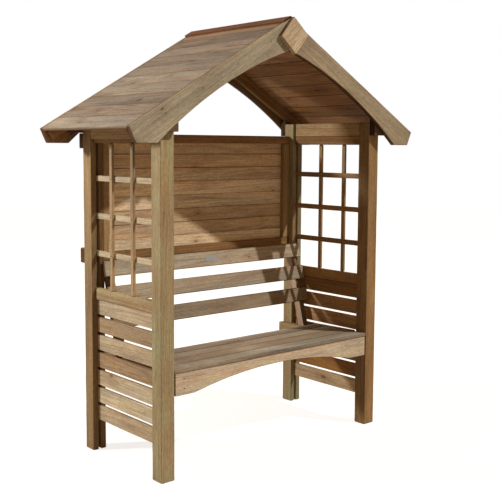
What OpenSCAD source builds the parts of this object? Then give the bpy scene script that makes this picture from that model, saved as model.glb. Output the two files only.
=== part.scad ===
// Garden arbour seat: a timber bench between two trellis sides, under a
// pitched roof with arched bargeboards. Millimetres, +Z up, front towards -Y,
// origin on the ground at the middle of the outline.

/* [Frame] */
// Width over the outside faces of the posts
frame_w = 1446; // [1100:10:2200]
// Depth from the front of the front posts to the back of the rear uprights
frame_d = 665; // [500:5:1000]
// Height of the posts, uprights and legs
post_h = 1670; // [1400:10:2100]
// Side of the square front posts
post_s = 74; // [50:1:100]
// Width of the rear uprights, seen from the front
upright_w = 31; // [20:1:45]
// Depth of the uprights and legs, front to back
upright_d = 72; // [45:1:100]
// Eased arris on posts, legs and rails
arris = 3; // [0.5:0.5:5]

/* [Sides] */
// Thickness of the side slats, which also fill the slot between upright and leg
side_slat_t = 15; // [10:1:22]
// Width of a side slat
side_slat_w = 77; // [50:1:110]
// Gap between side slats
side_slat_gap = 13; // [5:1:30]
// Number of side slats in a side
side_slats = 7; // [4:1:9]
// Height of the lowest side slat above the ground
side_slat_z = 156; // [60:2:260]
// Height of the middle rail
mid_rail_h = 58; // [40:1:90]
// Thickness of the middle rail
mid_rail_t = 28; // [20:1:44]
// Set-back of the middle rail from the outside face
mid_rail_in = 20; // [5:1:30]
// Height of the head rail over the trellis
head_rail_h = 48; // [30:1:80]
// Thickness of the head rail and of the top plate
head_rail_t = 40; // [28:1:50]
// Set-back of the head rail from the outside face
head_rail_in = 18; // [5:1:30]
// Height of the top plate that ties post to upright
top_plate_h = 73; // [45:1:110]
// Height of the strip that covers the joint of plate and rail outside
eaves_strip_h = 71; // [40:1:90]
// How far the eaves strip laps below the top plate
eaves_strip_lap = 28; // [10:1:40]
// Width of an upright trellis bar
trellis_w = 24; // [18:1:45]
// Width of a level trellis bar
trellis_level_w = 28; // [18:1:45]
// Upright bars off the middle of the side: to the back on the left, to the front on the right
trellis_offset = 14.5; // [0:0.5:30]
// Thickness of an upright trellis bar
trellis_t = 15; // [10:1:20]
// How far side slats and level bars stop short of the back of the uprights
slat_short = 5; // [1:1:20]
// Number of upright bars in a side
trellis_cols = 2; // [1:1:5]
// Number of level bars in a side
trellis_rows = 3; // [1:1:6]

/* [Back panel] */
// Visible height of the panel's top rail
panel_top_h = 44; // [30:1:80]
// Visible height of the panel's bottom rail
panel_low_h = 42; // [30:1:80]
// Width of the panel's stiles
panel_stile_w = 48; // [20:1:60]
// Thickness of the panel's rails and stiles
panel_frame_t = 28; // [18:1:40]
// Thickness of the panel's boards
panel_board_t = 14; // [10:1:20]
// Cover width of one panel board
panel_board_w = 73; // [50:1:120]
// Number of panel boards
panel_boards = 8; // [4:1:12]
// Drop of the boards' upper edge below the tops of the posts
panel_drop = 103; // [90:1:400]
// How far the top rail rises from behind the boards' upper edge
panel_top_lap = 13; // [0:1:30]
// How far the bottom rail hangs below the lowest board
panel_low_drop = 25; // [5:1:35]
// Height of the battens behind the legs
batten_h = 75; // [45:1:110]
// Thickness of the battens behind the legs
batten_t = 38; // [25:1:50]
// Drop of the top batten's lower edge below the boards' upper edge
batten_top_drop = 44; // [30:1:100]
// Drop of the low batten's lower edge below the boards' lower edge
batten_low_drop = 34; // [0:1:60]
// Depth of the grooves that mark the board joints
groove = 3; // [1:0.5:4]

/* [Seat] */
// Height of the seat at its front edge
seat_z = 518; // [400:2:600]
// Fall of the seat towards the back, in degrees
seat_tilt = 1.5; // [0:0.5:6]
// Thickness of a seat board
seat_board_t = 18; // [14:1:30]
// Gap between seat boards
seat_board_gap = 3.5; // [2:0.5:12]
// Number of seat boards
seat_boards = 4; // [3:1:6]
// Space between the last seat board and the foot of the back brackets
seat_rear_gap = 50.5; // [10:0.5:120]
// Clearance between the seat boards and the side slats
seat_end_gap = 2; // [1:0.5:12]
// Thickness of the arched apron
apron_t = 27; // [18:1:40]
// Height of the apron at its ends
apron_h = 105; // [80:1:160]
// Rise of the apron's arch
apron_rise = 60; // [20:1:90]
// Straight part of the apron's lower edge at each end
apron_flat = 115; // [40:5:250]
// Clearance between the apron and each post
apron_gap = 5; // [0.3:0.1:10]
// Thickness of the seat bearers
bearer_t = 36; // [25:1:50]
// Height of the seat bearers
bearer_h = 70; // [45:1:100]
// Width of the middle bearer
mid_bearer_w = 44; // [28:1:70]
// Height of the middle bearer and of the rear rail
mid_bearer_h = 36; // [25:1:45]
// Set-back of the rear rail from the edge of the last seat board
rear_rail_in = 6; // [0:1:30]

/* [Seat back] */
// Number of slats in the seat back
back_slats = 3; // [2:1:4]
// Width of a seat back slat
back_slat_w = 80; // [50:1:110]
// Thickness of a seat back slat
back_slat_t = 20; // [14:1:35]
// Gap between seat back slats
back_slat_gap = 51; // [15:1:90]
// Clearance between the ends of those slats and the sides
back_end_gap = 3; // [1:0.5:20]
// Lean of the seat back, in degrees
back_rake = 15.5; // [5:0.5:22]
// Height of the middle of the top slat above the front of the seat
back_rise = 410; // [330:2:420]
// Distance of that point in front of the back legs
back_set = 43; // [40:1:120]
// Width of the raked brackets that carry the slats
bracket_w = 36; // [24:1:60]
// Depth of those brackets, square to the slats
bracket_t = 45; // [30:1:60]
// How far a bracket stops short of the top slat's upper edge
bracket_short = 4; // [0:1:30]

/* [Roof] */
// Pitch of the roof, in degrees
pitch = 30; // [22:1:40]
// Height of the boarding's underside over the outer face of the posts
roof_clear = 48.1; // [20:0.1:120]
// Reach of the eaves past the outer face of the posts
eaves_reach = 203; // [120:2:400]
// Thickness of the roof boarding
deck_t = 16; // [12:1:25]
// Number of roof boards in a slope
roof_boards = 10; // [6:1:16]
// Thickness of the rafters
rafter_t = 38; // [25:1:50]
// Depth of the rafters below the boarding
rafter_d = 54; // [40:1:90]
// How far the rafters stop short of the eaves
rafter_short = 12; // [4:1:60]
// Thickness of the bargeboards
barge_t = 26; // [18:1:36]
// Width of the bargeboards, square to the slope
barge_w = 134; // [90:1:180]
// Length of the end cut at the foot of a bargeboard
barge_end = 78; // [50:0.5:100]
// Angle between the end cut and a plumb line
barge_cut = 25; // [0:1:45]
// Hollow of the arched lower edge, at its middle
barge_hollow = 46; // [10:1:60]
// Drop of the eaves blocks' underside below the tops of the posts
block_drop = 70; // [30:1:100]
// Length cut off the thin end of an eaves block
block_tip = 4; // [1:1:20]
// Width of a ridge cap board
cap_w = 51; // [40:1:120]
// Thickness of a ridge cap board
cap_t = 9; // [8:1:20]
// Side of the square plate at the apex
plate_s = 128; // [80:1:180]
// Thickness of the apex plate
plate_t = 25; // [12:1:30]
// Drop of the plate's centre below the ridge
plate_drop = 85.5; // [60:0.5:120]
// Turn of the front plate from standing square on its corner
plate_turn = 4.4; // [0:0.1:10]
// Front plate's centre to the right of the ridge
plate_side = 6; // [0:0.5:15]

/* [Hidden] */
// Small joint left between parts that only meet side by side
joint = 0.3;
half_w = frame_w / 2;
y_front = -frame_d / 2;
y_back = frame_d / 2;
// Faces in from the outside of a side: upright, slot for the slats, inner leg
slot_out = half_w - upright_w;
slot_in = slot_out - side_slat_t;
post_in = half_w - post_s;
leg_in = post_in;
leg_w = slot_in - leg_in;
// Innermost face of slats and middle rail
side_in = min(slot_in, half_w - mid_rail_in - mid_rail_t);
y_post = y_front + post_s;
y_upright = y_back - upright_d;
slat_pitch = side_slat_w + side_slat_gap;
mid_rail_z = side_slat_z + side_slats * slat_pitch - side_slat_gap;
mid_rail_top = mid_rail_z + mid_rail_h;
top_plate_z = post_h - top_plate_h;
head_rail_z = top_plate_z - head_rail_h;
// Back panel
panel_board_y = y_back - panel_board_t;
panel_frame_y = panel_board_y - panel_frame_t;
panel_board_top = post_h - panel_drop;
panel_board_z = panel_board_top - panel_boards * panel_board_w;
panel_low_z = panel_board_z - panel_low_drop;
panel_top_z = panel_board_top - panel_top_lap;
// Seat
back_top_z = seat_z + back_rise;
back_top_y = frame_d - upright_d - back_set;
seat_under = seat_z - seat_board_t / cos(seat_tilt);
bracket_foot = (back_top_y + back_slat_t / cos(back_rake) - (back_top_z - seat_under) * tan(back_rake))
    / (1 + tan(seat_tilt) * tan(back_rake));
seat_depth = bracket_foot - seat_rear_gap;
seat_board_w = (seat_depth + seat_board_gap) / seat_boards - seat_board_gap;
rear_rail_y = seat_depth - rear_rail_in;
// Roof
half_span = half_w + eaves_reach;
ridge_z = post_h + roof_clear + deck_t / cos(pitch) + half_w * tan(pitch);
deck_len = half_span / cos(pitch);
rafter_foot = deck_len - rafter_short;
block_z = post_h - block_drop;
plate_z = ridge_z - plate_drop;
wood = [0.66, 0.55, 0.40];
wood_shade = [0.56, 0.43, 0.29];
wood_light = [0.74, 0.64, 0.49];
wood_red = [0.62, 0.40, 0.27];

// Height of the underside of a seat board at a distance behind the front
function seat_low(y) = seat_under - y * tan(seat_tilt);
// Height of the rafters' lower edge at a distance from the middle
function rafter_low(x) = ridge_z - (deck_t + rafter_d) / cos(pitch) - x * tan(pitch);

// Upright timber with eased arrises, standing on the ground
module stile(w, d, h) {
    c = arris;
    linear_extrude(height = h)
        polygon([[c, 0], [w - c, 0], [w, c], [w, d - c], [w - c, d], [c, d], [0, d - c], [0, c]]);
}

// Profile in the X-Z plane, run from y towards the back
module along_y(y, run) {
    translate([0, y + run, 0])
        rotate([90, 0, 0])
            linear_extrude(height = run)
                children();
}

// Profile in the Y-Z plane, run from x to the right
module along_x(x, run) {
    translate([x, 0, 0])
        rotate([90, 0, 90])
            linear_extrude(height = run)
                children();
}

// Rectangle with eased corners
module eased(w, h) {
    c = min(arris, w / 4, h / 4);
    polygon([[c, 0], [w - c, 0], [w, c], [w, h - c], [w - c, h], [c, h], [0, h - c], [0, c]]);
}

// A piece of the right side; side -1 mirrors it to the left
module on_side(side) {
    if (side > 0)
        children();
    else
        mirror([1, 0, 0])
            children();
}

// ---- posts, uprights and legs ----

module front_post(side) {
    on_side(side)
        translate([post_in, y_front, 0])
            stile(post_s, post_s, post_h);
}

module rear_upright(side) {
    on_side(side)
        translate([slot_out, y_upright, 0])
            stile(upright_w, upright_d, post_h);
}

module back_leg(side) {
    on_side(side)
        translate([leg_in, y_upright, 0])
            stile(leg_w, upright_d, post_h);
}

// ---- sides ----

module side_rail(side, in, t, z, h) {
    on_side(side)
        along_y(y_post, y_upright - y_post)
            translate([half_w - in - t, z])
                eased(t, h);
}

module eaves_strip(side) {
    on_side(side)
        along_y(y_post, y_upright - y_post)
            translate([half_w - head_rail_in, top_plate_z - eaves_strip_lap])
                eased(head_rail_in, eaves_strip_h);
}

module side_slats_set(side) {
    on_side(side)
        for (i = [0 : side_slats - 1])
            along_y(y_post, y_back - slat_short - y_post)
                translate([slot_in, side_slat_z + i * slat_pitch])
                    eased(side_slat_t, side_slat_w);
}

// Upright bars outside, level bars inside that run into the slot
module trellis(side) {
    clear_y = y_upright - y_post;
    clear_z = head_rail_z - mid_rail_top;
    gap_y = (clear_y - trellis_cols * trellis_w) / (trellis_cols + 1);
    gap_z = (clear_z - trellis_rows * trellis_level_w) / (trellis_rows + 1);
    on_side(side) {
        for (i = [0 : trellis_cols - 1])
            translate([slot_out - 0.5, y_post + gap_y + i * (gap_y + trellis_w) - side * trellis_offset,
                    mid_rail_top])
                cube([trellis_t + 0.5, trellis_w, clear_z]);
        for (i = [0 : trellis_rows - 1])
            translate([slot_in, y_post, mid_rail_top + gap_z + i * (gap_z + trellis_level_w)])
                cube([side_slat_t, y_back - slat_short - y_post, trellis_level_w]);
    }
}

// ---- back panel ----

module panel_rail(z, h) {
    along_x(-leg_in + joint, 2 * (leg_in - joint))
        translate([panel_frame_y, z])
            eased(panel_frame_t, h);
}

module panel_stiles() {
    for (side = [-1, 1])
        on_side(side)
            translate([leg_in - joint - panel_stile_w, panel_frame_y, panel_low_z + panel_low_h])
                cube([panel_stile_w, panel_frame_t, panel_top_z - panel_low_z - panel_low_h]);
}

// Boards as one sheet, its joints marked by grooves on both faces
module panel_boarding() {
    t = panel_board_t;
    g = groove;
    rise = [for (i = [1 : panel_boards - 1]) panel_board_z + i * panel_board_w];
    front = [for (z = rise) each [[0, z - g / 2], [g, z], [0, z + g / 2]]];
    last = panel_boards - 2;
    back = [for (i = [0 : last]) each
        let (z = rise[last - i]) [[t, z + g / 2], [t - g, z], [t, z - g / 2]]];
    along_x(-leg_in + joint, 2 * (leg_in - joint))
        translate([panel_board_y, 0])
            polygon(concat([[0, panel_board_z]], front, [[0, panel_board_top], [t, panel_board_top]],
                back, [[t, panel_board_z]]));
}

module back_batten(z) {
    along_x(-half_w, frame_w)
        translate([y_back, z])
            eased(batten_t, batten_h);
}

// ---- seat ----

module seat_board_set() {
    translate([0, y_front, seat_z])
        rotate([-seat_tilt, 0, 0])
            for (i = [0 : seat_boards - 1]) {
                reach = i == 0 ? post_in - joint : slot_in - seat_end_gap;
                translate([0, i * (seat_board_w + seat_board_gap), -seat_board_t])
                    along_x(-reach, 2 * reach)
                        eased(seat_board_w, seat_board_t);
            }
}

// Apron with an arched lower edge
module arched_apron() {
    half = post_in - apron_gap;
    chord = half - apron_flat;
    r = (chord * chord + apron_rise * apron_rise) / (2 * apron_rise);
    top = seat_low(apron_t);
    low = top - apron_h;
    difference() {
        along_y(y_front, apron_t)
            polygon([[-half, low], [half, low], [half, top], [-half, top]]);
        translate([0, y_front - 1, low + apron_rise - r])
            rotate([-90, 0, 0])
                cylinder(r = r, h = apron_t + 2, $fn = 240);
    }
}

// Side bearer, its top edge following the fall of the seat
module seat_bearer(side) {
    a = apron_t;
    on_side(side)
        along_x(post_in - bearer_t, bearer_t)
            polygon([[y_front + a, seat_low(a) - bearer_h], [y_back, seat_low(frame_d) - bearer_h],
                [y_back, seat_low(frame_d)], [y_front + a, seat_low(a)]]);
}

module rear_seat_rail() {
    reach = post_in - bearer_t;
    b = rear_rail_y;
    a = b - apron_t;
    along_x(-reach, 2 * reach)
        polygon([[y_front + a, seat_low(b) - mid_bearer_h], [y_front + b, seat_low(b) - mid_bearer_h],
            [y_front + b, seat_low(b)], [y_front + a, seat_low(a)]]);
}

module mid_seat_bearer() {
    a = apron_t;
    b = rear_rail_y - apron_t;
    along_x(-mid_bearer_w / 2, mid_bearer_w)
        polygon([[y_front + a, seat_low(a) - mid_bearer_h], [y_front + b, seat_low(b) - mid_bearer_h],
            [y_front + b, seat_low(b)], [y_front + a, seat_low(a)]]);
}

// ---- seat back ----

module raked() {
    translate([0, y_front + back_top_y, back_top_z])
        rotate([-back_rake, 0, 0])
            children();
}

module back_slat_set() {
    reach = side_in - back_end_gap;
    raked()
        for (i = [0 : back_slats - 1])
            along_x(-reach, 2 * reach)
                translate([0, -back_slat_w / 2 - i * (back_slat_w + back_slat_gap)])
                    eased(back_slat_t, back_slat_w);
}

// Raked bracket: its foot stands on the side bearer, its head is fixed beside the leg
module back_bracket(side) {
    far = 2 * back_rise;
    low_x = leg_in - joint - bracket_w;
    on_side(side)
        difference() {
            raked()
                translate([low_x, back_slat_t, -far])
                    cube([bracket_w, bracket_t, far + back_slat_w / 2 - bracket_short]);
            along_x(low_x - 1, bracket_w + 2)
                polygon([[y_front, seat_low(0)], [y_front, seat_low(0) - 2 * far], [y_back, seat_low(0) - 2 * far],
                    [y_back, seat_low(frame_d)]]);
        }
}

// ---- roof ----

// Profile given along the slope and square to it, from the ridge
module on_slope() {
    translate([0, ridge_z])
        rotate(-pitch)
            children();
}

// Boarding of a slope with grooves at the joints, above and below
module deck(side) {
    t = deck_t;
    g = groove;
    p = deck_len / roof_boards;
    at = [for (i = [1 : roof_boards - 1]) i * p];
    last = roof_boards - 2;
    top = [for (s = at) each [[s - g / 2, 0], [s, -g], [s + g / 2, 0]]];
    low = [for (i = [0 : last]) each
        let (s = at[last - i]) [[s + g / 2, -t], [s, g - t], [s - g / 2, -t]]];
    on_side(side)
        along_y(y_front - rafter_t, frame_d + 2 * rafter_t)
            on_slope()
                polygon(concat([[0, 0]], top, [[deck_len, 0], [deck_len, -t]], low, [[t * tan(pitch), -t]]));
}

module rafter(side, y) {
    a = deck_t;
    b = deck_t + rafter_d;
    s = joint / cos(pitch);
    on_side(side)
        along_y(y, rafter_t)
            on_slope()
                polygon([[s + a * tan(pitch), -a], [rafter_foot, -a], [rafter_foot, -b], [s + b * tan(pitch), -b]]);
}

// Bargeboard: sloping cut at the tip, level cut at the foot, arched lower edge
module bargeboard(side, y) {
    tip = [half_span, ridge_z - half_span * tan(pitch)];
    foot = [tip[0] - barge_end * sin(barge_cut), tip[1] - barge_end * cos(barge_cut)];
    head = [joint, ridge_z - barge_w / cos(pitch)];
    knee = [(head[1] - foot[1]) / tan(pitch), foot[1]];
    chord = norm(knee - head) / 2;
    r = (chord * chord + barge_hollow * barge_hollow) / (2 * barge_hollow);
    mid = (knee + head) / 2;
    centre = [mid[0] - (r - barge_hollow) * sin(pitch), mid[1] - (r - barge_hollow) * cos(pitch)];
    on_side(side)
        difference() {
            along_y(y, barge_t)
                polygon([[joint, ridge_z - joint], tip, foot, knee, head]);
            translate([centre[0], y - 1, centre[1]])
                rotate([-90, 0, 0])
                    cylinder(r = r, h = barge_t + 2, $fn = 360);
        }
}

// Wedge under the rafter foot, against the face of the post
module eaves_block(side, y) {
    x_end = (rafter_low(0) - block_z) / tan(pitch) - block_tip;
    on_side(side)
        along_y(y, rafter_t)
            polygon([[post_in, block_z], [x_end, block_z], [x_end, rafter_low(x_end)],
                [post_in, rafter_low(post_in)]]);
}

module ridge_cap(side) {
    on_side(side)
        along_y(y_front - rafter_t - barge_t, frame_d + 2 * (rafter_t + barge_t))
            on_slope()
                polygon([[joint, 0], [cap_w, 0], [cap_w, cap_t], [joint - cap_t * tan(pitch), cap_t]]);
}

module apex_plate(y, turn, side) {
    translate([side, y, plate_z])
        rotate([0, 45 - turn, 0])
            translate([-plate_s / 2, 0, -plate_s / 2])
                cube([plate_s, plate_t, plate_s]);
}

// ---- named parts ----

module front_left_post() color(wood) front_post(-1);
module front_right_post() color(wood) front_post(1);
module rear_left_upright() color(wood) rear_upright(-1);
module rear_right_upright() color(wood) rear_upright(1);
module back_left_leg() color(wood) back_leg(-1);
module back_right_leg() color(wood) back_leg(1);
module left_mid_rail() color(wood) side_rail(-1, mid_rail_in, mid_rail_t, mid_rail_z, mid_rail_h);
module right_mid_rail() color(wood) side_rail(1, mid_rail_in, mid_rail_t, mid_rail_z, mid_rail_h);
module left_head_rail() color(wood) side_rail(-1, head_rail_in, head_rail_t, head_rail_z, head_rail_h);
module right_head_rail() color(wood) side_rail(1, head_rail_in, head_rail_t, head_rail_z, head_rail_h);
module left_top_plate() color(wood) side_rail(-1, head_rail_in, head_rail_t, top_plate_z, top_plate_h);
module right_top_plate() color(wood) side_rail(1, head_rail_in, head_rail_t, top_plate_z, top_plate_h);
module left_eaves_strip() color(wood) eaves_strip(-1);
module right_eaves_strip() color(wood) eaves_strip(1);
module left_trellis() color(wood_light) trellis(-1);
module right_trellis() color(wood_light) trellis(1);
module left_side_slats() color(wood_light) side_slats_set(-1);
module right_side_slats() color(wood_light) side_slats_set(1);
module back_panel_top_rail() color(wood) panel_rail(panel_top_z, panel_top_h);
module back_panel_low_rail() color(wood) panel_rail(panel_low_z, panel_low_h);
module back_panel_stiles() color(wood) panel_stiles();
module back_panel_boards() color(wood_shade) panel_boarding();
module back_top_batten() color(wood) back_batten(panel_board_top - batten_top_drop);
module back_low_batten() color(wood) back_batten(panel_board_z - batten_low_drop);
module seat_boarding() color(wood) seat_board_set();
module seat_apron() color(wood_light) arched_apron();
module seat_rear_rail() color(wood_shade) rear_seat_rail();
module seat_middle_bearer() color(wood_shade) mid_seat_bearer();
module seat_back_slats() color(wood) back_slat_set();
module left_seat_bearer() color(wood) seat_bearer(-1);
module right_seat_bearer() color(wood) seat_bearer(1);
module left_back_bracket() color(wood) back_bracket(-1);
module right_back_bracket() color(wood) back_bracket(1);
module roof_left_deck() color(wood_light) deck(-1);
module roof_right_deck() color(wood_light) deck(1);
module ridge_caps() color(wood_red) {
    ridge_cap(-1);
    ridge_cap(1);
}
module front_left_bargeboard() color(wood_light) bargeboard(-1, y_front - rafter_t - barge_t);
module front_right_bargeboard() color(wood_light) bargeboard(1, y_front - rafter_t - barge_t);
module rear_left_bargeboard() color(wood_light) bargeboard(-1, y_back + rafter_t);
module rear_right_bargeboard() color(wood_light) bargeboard(1, y_back + rafter_t);
module front_rafters() color(wood_shade) {
    rafter(-1, y_front - rafter_t);
    rafter(1, y_front - rafter_t);
}
module rear_rafters() color(wood_shade) {
    rafter(-1, y_back);
    rafter(1, y_back);
}
module eaves_blocks() color(wood_shade) {
    for (side = [-1, 1]) {
        eaves_block(side, y_front - rafter_t);
        eaves_block(side, y_back);
    }
}
module front_apex_plate() color(wood_light) apex_plate(y_front - rafter_t - barge_t - plate_t, plate_turn, plate_side);
module rear_apex_plate() color(wood_light) apex_plate(y_back + rafter_t + barge_t, 0, 0);

front_left_post();
front_right_post();
rear_left_upright();
rear_right_upright();
back_left_leg();
back_right_leg();
left_mid_rail();
right_mid_rail();
left_head_rail();
right_head_rail();
left_top_plate();
right_top_plate();
left_eaves_strip();
right_eaves_strip();
left_trellis();
right_trellis();
left_side_slats();
right_side_slats();
back_panel_top_rail();
back_panel_low_rail();
back_panel_stiles();
back_panel_boards();
back_top_batten();
back_low_batten();
seat_boarding();
seat_apron();
left_seat_bearer();
right_seat_bearer();
seat_rear_rail();
seat_middle_bearer();
seat_back_slats();
left_back_bracket();
right_back_bracket();
roof_left_deck();
roof_right_deck();
ridge_caps();
front_left_bargeboard();
front_right_bargeboard();
rear_left_bargeboard();
rear_right_bargeboard();
front_rafters();
rear_rafters();
eaves_blocks();
front_apex_plate();
rear_apex_plate();
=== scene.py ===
import math
import bpy
import numpy as np
from mathutils import Matrix, Vector


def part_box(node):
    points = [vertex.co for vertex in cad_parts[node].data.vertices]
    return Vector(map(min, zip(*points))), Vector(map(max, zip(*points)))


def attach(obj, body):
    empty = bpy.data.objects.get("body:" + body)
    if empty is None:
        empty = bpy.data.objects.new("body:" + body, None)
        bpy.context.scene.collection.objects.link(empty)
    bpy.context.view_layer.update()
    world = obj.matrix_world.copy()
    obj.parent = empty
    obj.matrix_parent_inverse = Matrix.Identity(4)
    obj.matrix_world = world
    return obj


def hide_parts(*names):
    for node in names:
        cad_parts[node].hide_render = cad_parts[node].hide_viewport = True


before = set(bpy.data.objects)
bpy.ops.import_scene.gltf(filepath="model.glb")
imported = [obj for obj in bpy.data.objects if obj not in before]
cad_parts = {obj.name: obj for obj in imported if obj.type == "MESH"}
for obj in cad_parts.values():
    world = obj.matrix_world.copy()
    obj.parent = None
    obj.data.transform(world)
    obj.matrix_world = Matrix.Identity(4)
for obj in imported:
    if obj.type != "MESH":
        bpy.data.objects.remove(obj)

scene = bpy.context.scene
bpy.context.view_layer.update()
print("frame loaded", len(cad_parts), "parts")

cameraSetup = {
    "place": (-2.9845, -3.5480, 1.5352),
    "yaw": 40.675,  # degrees to the right of straight back
    "pitch": -5.309,
    "roll": 0.309,
    "lens": 63.776,
    "sensor": 36.0,
    "shift": (0.00708, -0.04178),  # shares of the view's width
    "farLimit": 200.0,
}

lightSetup = {
    "sunPlace": (0.0, 0.0, 4.0),
    "sunTravel": (-0.58, 1.0, -1.02),
    "sunStrength": 2.25,
    "sunColour": (1.0, 0.965, 0.92),
    "sunSize": 1.4,  # degrees, how soft the shadow edges are
    "skyStrength": 0.33,
    "skyColour": (1.0, 0.64, 0.34),
    "fillPlace": (-3.8, 2.15, 2.7),
    "fillAim": (-0.3, 0.0, 1.0),
    "fillSize": 0.4,
    "fillPower": 172.0,
    "fillColour": (1.0, 0.99, 0.985),
    "floorColour": (0.46, 0.43, 0.39),
    "floorSize": 30.0,
    "floorBelow": 0.0005,
    "floorGlow": 0.78,  # added where the floor is looked at, never to its light
}


def aimed(place, aim):
    # Rotation that turns -Z from place to aim.
    return (Vector(aim) - Vector(place)).to_track_quat("-Z", "Y")


def makeCamera(setup):
    # Looks along (sin yaw cos pitch, cos yaw cos pitch, sin pitch), turned by roll about that line.
    yaw, pitch, roll = (math.radians(setup[k]) for k in ("yaw", "pitch", "roll"))
    ahead = Vector((math.sin(yaw) * math.cos(pitch), math.cos(yaw) * math.cos(pitch), math.sin(pitch)))
    side = Vector((math.cos(yaw), -math.sin(yaw), 0.0))
    up = side.cross(ahead)
    right = side * math.cos(roll) + up * math.sin(roll)
    top = up * math.cos(roll) - side * math.sin(roll)
    data = bpy.data.cameras.new("viewCamera")
    data.lens = setup["lens"]
    data.sensor_width = setup["sensor"]
    data.sensor_fit = "HORIZONTAL"
    data.shift_x, data.shift_y = setup["shift"]
    data.clip_end = setup["farLimit"]
    camera = bpy.data.objects.new("viewCamera", data)
    scene.collection.objects.link(camera)
    turn = Matrix((right, top, -ahead)).transposed().to_4x4()
    camera.matrix_world = Matrix.Translation(setup["place"]) @ turn
    scene.camera = camera


def makeLights(setup):
    # A sun for the shadows, and a round lamp that fills them.
    sun = bpy.data.lights.new("sunLight", "SUN")
    sun.energy = setup["sunStrength"]
    sun.color = setup["sunColour"]
    sun.angle = math.radians(setup["sunSize"])
    fill = bpy.data.lights.new("fillLight", "AREA")
    fill.energy = setup["fillPower"]
    fill.color = setup["fillColour"]
    fill.shape = "DISK"
    fill.size = setup["fillSize"]
    sunAim = Vector(setup["sunPlace"]) + Vector(setup["sunTravel"])
    lamps = ((sun, setup["sunPlace"], sunAim), (fill, setup["fillPlace"], setup["fillAim"]))
    for light, place, aim in lamps:
        lamp = bpy.data.objects.new(light.name, light)
        lamp.location = place
        lamp.rotation_mode = "QUATERNION"
        lamp.rotation_quaternion = aimed(place, aim)
        scene.collection.objects.link(lamp)


def addNode(tree, kind, inputs=(), **values):
    # A node whose inputs, by name or number, are linked where a socket is given and set otherwise.
    node = tree.nodes.new(kind)
    for key, value in values.items():
        setattr(node, key, value)
    for key, value in dict(inputs).items():
        if isinstance(value, bpy.types.NodeSocket):
            tree.links.new(value, node.inputs[key])
        else:
            node.inputs[key].default_value = value
    return node


def emptyMaterial(name):
    # A material and its node tree, with no nodes yet.
    material = bpy.data.materials.new(name)
    material.use_nodes = True
    material.node_tree.nodes.clear()
    return material, material.node_tree


def seenDirectly(tree):
    # 1 for camera, glossy and transmission rays, 0 for the light that falls on the object.
    path = addNode(tree, "ShaderNodeLightPath")
    most = path.outputs["Is Camera Ray"]
    for name in ("Is Glossy Ray", "Is Transmission Ray"):
        inputs = {0: most, 1: path.outputs[name]}
        most = addNode(tree, "ShaderNodeMath", inputs, operation="MAXIMUM").outputs[0]
    return most


def makeWorld(setup):
    # A dim sky that lights the object, and plain white where it is looked at.
    world = bpy.data.worlds.new("plainSky")
    scene.world = world
    world.use_nodes = True
    tree = world.node_tree
    tree.nodes.clear()
    sky = addNode(tree, "ShaderNodeBackground",
        {"Color": (*setup["skyColour"], 1.0), "Strength": setup["skyStrength"]})
    white = addNode(tree, "ShaderNodeBackground", {"Color": (1.0, 1.0, 1.0, 1.0), "Strength": 1.0})
    mix = addNode(tree, "ShaderNodeMixShader",
        {0: seenDirectly(tree), 1: sky.outputs[0], 2: white.outputs[0]})
    addNode(tree, "ShaderNodeOutputWorld", {"Surface": mix.outputs[0]})


def makeFloor(setup):
    # A flat square just under the feet.
    half = setup["floorSize"] / 2
    mesh = bpy.data.meshes.new("studioFloor")
    corners = [(-half, -half, 0), (half, -half, 0), (half, half, 0), (-half, half, 0)]
    mesh.from_pydata(corners, [], [(0, 1, 2, 3)])
    floor = bpy.data.objects.new("studioFloor", mesh)
    scene.collection.objects.link(floor)
    floor.location.z = -setup["floorBelow"]
    material, tree = emptyMaterial("paleFloor")
    matt = addNode(tree, "ShaderNodeBsdfDiffuse", {"Color": (*setup["floorColour"], 1.0)})
    strength = addNode(tree, "ShaderNodeMath", {0: seenDirectly(tree), 1: setup["floorGlow"]},
        operation="MULTIPLY")
    glow = addNode(tree, "ShaderNodeEmission",
        {"Color": (1.0, 1.0, 1.0, 1.0), "Strength": strength.outputs[0]})
    both = addNode(tree, "ShaderNodeAddShader", {0: matt.outputs[0], 1: glow.outputs[0]})
    addNode(tree, "ShaderNodeOutputMaterial", {"Surface": both.outputs[0]})
    mesh.materials.append(material)


scene.view_settings.view_transform = "Standard"
makeCamera(cameraSetup)
makeLights(lightSetup)
makeWorld(lightSetup)
makeFloor(lightSetup)
print("camera, light and floor set")


def colour(red, green, blue):
    # Screen values 0-255 to the linear values that a shader takes.
    c = np.array([red, green, blue]) / 255.0
    linear = np.where(c <= 0.04045, c / 12.92, ((c + 0.055) / 1.055) ** 2.4)
    return (*(float(x) for x in linear), 1.0)


# What timbers share unless they say otherwise: ring width in metres, and how strongly things show
timberCommon = {"ring": 0.0085, "ringShow": 0.36, "streak": 0.5, "rough": 0.68, "joint": 0.0}

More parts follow.
